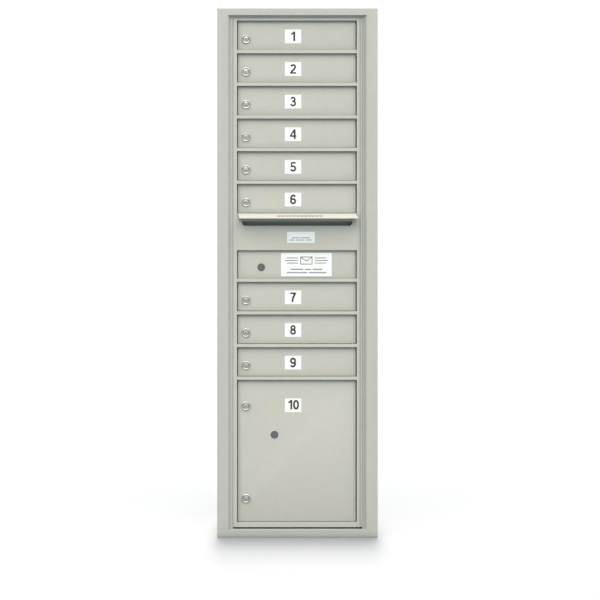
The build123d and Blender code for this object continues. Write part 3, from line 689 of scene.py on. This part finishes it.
def rows_of_bars(height, rows):
    """Lines of plain bars whose lengths go as the given shares, with gaps between them."""
    gap = height * 1.1
    bars = []
    for width, up, shares in rows:
        unit = (width - gap * (len(shares) - 1)) / sum(shares)
        start = -width / 2
        for share in shares:
            length = share * unit
            bars.append(shifted(rounded_outline(length, height, height * 0.3, 3), start + length / 2, up))
            start += length + gap
    return bars


def frame_bands(half_width, half_height, up, width):
    """A rectangle's outline as two bands that overlap a little in the middle."""
    lap = width / 4
    halves = []
    for side in (-1, 1):
        halves.append(band([(-side * lap, up + half_height), (side * half_width, up + half_height),
                            (side * half_width, up - half_height), (-side * lap, up - half_height)], width))
    return halves


def postal_label():
    """White label with an envelope sign and plain bars in place of any wording."""
    low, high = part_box("postal_lock_panel")
    z = (low.z + high.z) / 2 - LABEL_DOWN
    sticker("postal_label_film", "master_door", LABEL_X, low.y, z, LABEL_WIDTH, LABEL_HEIGHT)
    place = facing_front(LABEL_X, low.y - FILM, z)
    half_w = ENVELOPE_WIDTH / 2
    half_h = ENVELOPE_HEIGHT / 2
    flap_end = half_w - FLAP_INSET
    flap_top = SIGN_UP + half_h - FLAP_DROP
    flap = [(-flap_end, flap_top), (0.0, SIGN_UP - half_h * FLAP_POINT_SHARE), (flap_end, flap_top)]
    sign = frame_bands(half_w, half_h, SIGN_UP, STROKE)
    sign.append(band(flap, STROKE))
    for side in (-1, 1):
        for level in (-1, 0, 1):
            start = side * (half_w + LINE_GAP)
            end = start + side * (LINE_LENGTH - LINE_SHORTER * abs(level))
            up = SIGN_UP + level * LINE_PITCH
            sign.append(stroke((start, up), (end, up), STROKE))
    printed("postal_label_sign", "master_door", place, sign, DARK_GREY_INK)
    printed("postal_label_bars", "master_door", place, rows_of_bars(LABEL_BAR, LABEL_ROWS), GREY_INK)


PLATE_BORDER_INSET = 2.2 * MM
PLATE_BORDER_LINE = 0.7 * MM
PLATE_BAR = 2.4 * MM
PLATE_ROWS = ((50.0 * MM, -1.0 * MM, (3, 4)), (62.0 * MM, -7.0 * MM, (3, 5, 4)))
PLATE_LIGHT_BAR = 3.0 * MM
PLATE_LIGHT_ROWS = ((40.0 * MM, 6.2 * MM, (2, 3, 2)),)


def info_plate_marks():
    """Rolled border, plain grey bars and plain light bars on the small metal plate."""
    low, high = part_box("outgoing_info_plate")
    centre = centre_of("outgoing_info_plate")
    place = facing_front(centre.x, low.y, centre.z)
    half_width = (high.x - low.x) / 2 - PLATE_BORDER_INSET
    half_height = (high.z - low.z) / 2 - PLATE_BORDER_INSET
    border = frame_bands(half_width, half_height, 0.0, PLATE_BORDER_LINE)
    metal = "silver_plate"
    printed("info_plate_border", "master_door", place, border, MATERIALS[metal], 2 * INK)
    printed("info_plate_bars", "master_door", place, rows_of_bars(PLATE_BAR, PLATE_ROWS), GREY_INK)
    light_bars = rows_of_bars(PLATE_LIGHT_BAR, PLATE_LIGHT_ROWS)
    printed("info_plate_light_bars", "master_door", place, light_bars, VINYL)


CHEVRONS = 12
CHEVRON_PITCH = 10.4 * MM
CHEVRON_ARM = 3.4 * MM
CHEVRON_RISE = 3.6 * MM
CHEVRON_LINE = 2.5 * MM
CHEVRON_X = 6.7 * MM


def hood_arrows():
    """Row of small printed arrow heads on the hood's sloping face, in place of wording."""
    low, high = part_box("outgoing_mail_hood")
    up_slope = Vector((0.0, high.y - low.y, high.z - low.z)).normalized()
    outward = Vector((0.0, -up_slope.z, up_slope.y))
    centre = Vector((CHEVRON_X, (low.y + high.y) / 2, (low.z + high.z) / 2))
    turn = Matrix((Vector((1, 0, 0)), up_slope, outward)).transposed().to_4x4()
    arrows = []
    for step in range(CHEVRONS):
        across = (step - (CHEVRONS - 1) / 2) * CHEVRON_PITCH
        for side in (-1, 1):
            tail = (across + side * CHEVRON_ARM, CHEVRON_RISE)
            arrows.append(stroke(tail, (across, -CHEVRON_RISE), CHEVRON_LINE))
    printed("hood_arrows", "master_door", Matrix.Translation(centre) @ turn, arrows, BLACK_INK)


# Weld marks on the postal panel: a low dome as (radius, depth behind the face), and where the marks lie.
WELD_DOME = ((0.05, -0.16), (1.2, -0.15), (2.4, -0.09), (3.2, -0.03), (3.8, 0.02), (0.05, 0.02))
LEFT_WELDS_IN = 29.0 * MM
RIGHT_WELD_IN = 19.0 * MM
INNER_WELD_IN = 46.0 * MM
UPPER_WELD_DOWN = 30.6 * MM
LOWER_WELDS_UP = 11.3 * MM
INNER_WELD_UP = 24.9 * MM


def stud_marks():
    """Faint shallow rises where the postal panel's fixings are welded behind it."""
    low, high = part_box("postal_lock_panel")
    left = low.x + LEFT_WELDS_IN
    lower = low.z + LOWER_WELDS_UP
    spots = [(left, high.z - UPPER_WELD_DOWN), (left, lower), (high.x - RIGHT_WELD_IN, lower),
             (high.x - INNER_WELD_IN, low.z + INNER_WELD_UP)]

    def rises(bm):
        for x, z in spots:
            turned(bm, x, low.y, z, in_metres(WELD_DOME), 32)

    new_piece("postal_panel_weld_marks", mesh_from(rises, "postal_panel_weld_marks"),
              MATERIALS["powder_coat"], "master_door", 50)


# ---- locks ---------------------------------------------------------------

# Lock body as (radius, depth behind its front face) in millimetres.
BARREL = ((6.30, 18.5), (9.10, 18.5), (9.50, 18.1), (9.50, 3.0))
ROLLED_RIM = ((11.7, 3.0), (12.0, 2.7), (12.0, 1.7), (11.75, 0.85), (11.2, 0.25), (10.5, 0.0), (9.8, 0.15))
DISH = ((9.3, 0.6), (9.0, 1.2), (8.6, 1.55), (7.7, 1.6), (7.3, 1.35))
COLLAR = ((7.1, 0.95), (6.85, 0.75), (6.55, 0.8), (6.30, 1.1))
PLUG_RADIUS = 6.2 * MM
CAP_RADIUS = 6.1 * MM
CAP_RISE = 0.9 * MM
CAP_LIFT = 0.35 * MM
CAP_GAP = 0.02 * MM
CAP_STEPS = 48
CAP_RINGS = 7
KEYWAY_WIDTH = 1.6 * MM
KEYWAY_HEIGHT = 7.0 * MM


def lock_axis(plug_node):
    """x and z of a lock's axis: the plug is centred on it across, and tops out one radius above it."""
    low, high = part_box(plug_node)
    return ((low.x + high.x) / 2, high.z - PLUG_RADIUS)


def lock_bodies(name, body, axes, front, replaced):
    """Turned lock bodies in place of the plain CAD ones."""
    profile = in_metres(BARREL + ROLLED_RIM + DISH + COLLAR)

    def build(bm):
        for x, z in axes:
            turned(bm, x, front, z, profile, 96)

    piece = new_piece(name, mesh_from(build, name), MATERIALS["nickel_plate"], body, 40)
    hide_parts(replaced)


def plug_cap(name, body, x, face_y, z):
    """Domed face of the lock plug, pierced by the keyway."""
    def keyway(angle):
        """Point of the keyway's outline seen from the axis at this angle."""
        across = math.cos(angle)
        up = math.sin(angle)
        reach = min(KEYWAY_WIDTH / 2 / abs(across), KEYWAY_HEIGHT / 2 / abs(up))
        return (across * reach, up * reach)

    def build(bm):
        def loop(share, y_of):
            made = []
            for step in range(CAP_STEPS):
                angle = 2 * math.pi * (step + 0.5) / CAP_STEPS
                inner = keyway(angle)
                outer = (CAP_RADIUS * math.cos(angle), CAP_RADIUS * math.sin(angle))
                u = inner[0] + (outer[0] - inner[0]) * share
                v = inner[1] + (outer[1] - inner[1]) * share
                made.append(bm.verts.new((x + u, y_of(math.hypot(u, v)), z + v)))
            return made

        def dome(radius):
            return face_y - CAP_LIFT - (CAP_RISE - CAP_LIFT) * (1 - (radius / CAP_RADIUS) ** 2)

        def base(_radius):
            return face_y - CAP_GAP

        loops = [loop(0.0, base)]
        loops += [loop(ring / CAP_RINGS, dome) for ring in range(CAP_RINGS + 1)]
        loops.append(loop(1.0, base))
        for low, high in zip(loops, loops[1:] + loops[:1]):
            join_loops(bm, low, high)

    new_piece(name, mesh_from(build, name), MATERIALS["nickel_plate"], body, 40)


def mail_door_lock(number):
    door = "door_" + str(number)
    axis = lock_axis(door + "_lock_plug")
    housing = door + "_lock_housing"
    lock_bodies(door + "_lock_body", door, [axis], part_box(housing)[0].y, housing)
    plug_cap(door + "_plug_face", door + "_plug", axis[0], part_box(door + "_lock_plug")[0].y, axis[1])


def parcel_door_locks():
    plugs = ["parcel_upper_lock_plug", "parcel_lower_lock_plug"]
    axes = [lock_axis(plug) for plug in plugs]
    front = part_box("parcel_lock_housings")[0].y
    lock_bodies("parcel_lock_bodies", "parcel_door", axes, front, "parcel_lock_housings")
    for level, plug, axis in zip(("upper", "lower"), plugs, axes):
        plug_cap("parcel_" + level + "_plug_face", "parcel_" + level + "_plug",
                 axis[0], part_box(plug)[0].y, axis[1])


# ---- stage ---------------------------------------------------------------

def floor_finish():
    """Pale studio floor that is plain white where nothing shades it."""
    s = Shader("studio_floor")
    lighter = tuple(channel * 1.02 for channel in FLOOR_TONE)
    s.set(Base_Color=s.mix(s.spread(s.noise(1.5, 3.0), 0.0, 1.0), FLOOR_TONE, lighter),
          Roughness=s.spread(s.noise(90.0, 2.0), 0.80, 0.92))
    s.surface.inputs["Specular IOR Level"].default_value = 0.1
    dull = s.node("ShaderNodeBsdfDiffuse")
    dull.inputs["Color"].default_value = (*FLOOR_BOUNCE, 1.0)
    choose = s.node("ShaderNodeMixShader")
    s.feed(choose.inputs[0], s.node("ShaderNodeLightPath").outputs["Is Camera Ray"])
    s.feed(choose.inputs[1], dull.outputs[0])
    s.feed(choose.inputs[2], s.surface.outputs[0])
    s.feed(s.tree.nodes["Material Output"].inputs["Surface"], choose.outputs[0])
    return s.material


def floor():
    """Large flat disc under the unit."""
    def build(bm):
        bmesh.ops.create_circle(bm, cap_ends=True, segments=96, radius=FLOOR_RADIUS)

    mesh = mesh_from(build, "floor")
    disc = bpy.data.objects.new("floor", mesh)
    bpy.context.scene.collection.objects.link(disc)
    mesh.materials.append(floor_finish())
    disc.location.z = CAD_BOX[0].z - FLOOR_DROP
    return disc


def surroundings():
    """Soft even light from all round, seen by the camera as pure white."""
    world = bpy.data.worlds.new("studio")
    world.use_nodes = True
    tree = world.node_tree
    tree.nodes.clear()
    output = tree.nodes.new("ShaderNodeOutputWorld")
    choose = tree.nodes.new("ShaderNodeMixShader")
    path = tree.nodes.new("ShaderNodeLightPath")
    soft = tree.nodes.new("ShaderNodeBackground")
    soft.inputs["Color"].default_value = (*AMBIENT_COLOUR, 1.0)
    direction = tree.nodes.new("ShaderNodeSeparateXYZ")
    tree.links.new(tree.nodes.new("ShaderNodeTexCoord").outputs["Generated"], direction.inputs[0])
    towards_front = tree.nodes.new("ShaderNodeMath")
    towards_front.operation = "MULTIPLY_ADD"
    towards_front.inputs[1].default_value = -AMBIENT_STRENGTH * FRONT_SHARE
    towards_front.inputs[2].default_value = AMBIENT_STRENGTH
    tree.links.new(direction.outputs["Y"], towards_front.inputs[0])
    tree.links.new(towards_front.outputs[0], soft.inputs["Strength"])
    white = tree.nodes.new("ShaderNodeBackground")
    white.inputs["Color"].default_value = (1.0, 1.0, 1.0, 1.0)
    white.inputs["Strength"].default_value = BACKDROP_STRENGTH
    tree.links.new(path.outputs["Is Camera Ray"], choose.inputs[0])
    tree.links.new(soft.outputs[0], choose.inputs[1])
    tree.links.new(white.outputs[0], choose.inputs[2])
    tree.links.new(choose.outputs[0], output.inputs["Surface"])
    bpy.context.scene.world = world


def soft_lamp(name, strength, colour, towards, size_deg):
    """Broad distant light that comes from the given direction."""
    lamp = bpy.data.lights.new(name, "SUN")
    lamp.energy = strength
    lamp.color = colour
    lamp.angle = math.radians(size_deg)
    holder = bpy.data.objects.new(name, lamp)
    bpy.context.scene.collection.objects.link(holder)
    holder.rotation_mode = "QUATERNION"
    holder.rotation_quaternion = Vector(towards).to_track_quat("Z", "Y")
    return holder


def lights_on(lamp, receiver, choice):
    """Keeps a lamp's light to one object (INCLUDE) or off it (EXCLUDE)."""
    linked = bpy.data.collections.new(lamp.name + "_receivers")
    linked.objects.link(receiver)
    lamp.light_linking.receiver_collection = linked
    for member in linked.collection_objects:
        member.light_linking.link_state = choice


def floor_lights(ground):
    """Row of small lamps over and behind the unit, whose shadow runs straight out in front, and a fill."""
    def add(name, share, towards, size_deg):
        rise = Vector(towards).normalized().z
        strength = share * math.pi / (FLOOR_TONE[0] * rise)
        lights_on(soft_lamp(name, strength, (1.0, 1.0, 1.0), towards, size_deg), ground, "INCLUDE")

    for index, (height_deg, share) in enumerate(FLOOR_LIGHTS):
        height = math.radians(height_deg)
        towards = (0.0, math.cos(height), math.sin(height))
        add("floor_light_" + str(index), share, towards, FLOOR_LIGHT_SIZE_DEG)
    add("floor_fill", FLOOR_FILL, FLOOR_FILL_FROM, FLOOR_FILL_SIZE_DEG)


def camera():
    """Long lens, level, looking straight at the doors from a little under half height."""
    lens = bpy.data.cameras.new("camera")
    lens.lens = CAMERA_LENS
    lens.sensor_width = CAMERA_SENSOR
    lens.clip_end = CAMERA_CLIP_END
    distance = VISIBLE_HEIGHT * CAMERA_LENS / CAMERA_SENSOR
    holder = bpy.data.objects.new("camera", lens)
    bpy.context.scene.collection.objects.link(holder)
    holder.location = (CAMERA_X, CAD_BOX[0].y - distance, CAMERA_Z)
    holder.rotation_euler = (math.pi / 2, 0.0, 0.0)
    bpy.context.scene.camera = holder


# ---- assembly ------------------------------------------------------------

for row in frame["record"]["subparts"]:
    dress(row["node"], row["material_slot"])

for door in range(1, DOORS + 1):
    door_number(door)
    mail_door_lock(door)
parcel_number()
parcel_door_locks()
postal_label()
info_plate_marks()
hood_arrows()
stud_marks()

ground = floor()
surroundings()
floor_lights(ground)
lights_on(soft_lamp("key_light", KEY_STRENGTH, KEY_COLOUR, KEY_FROM, KEY_SIZE_DEG), ground, "EXCLUDE")
camera()
bpy.context.scene.view_settings.view_transform = "Standard"
bpy.context.scene.view_settings.look = "None"
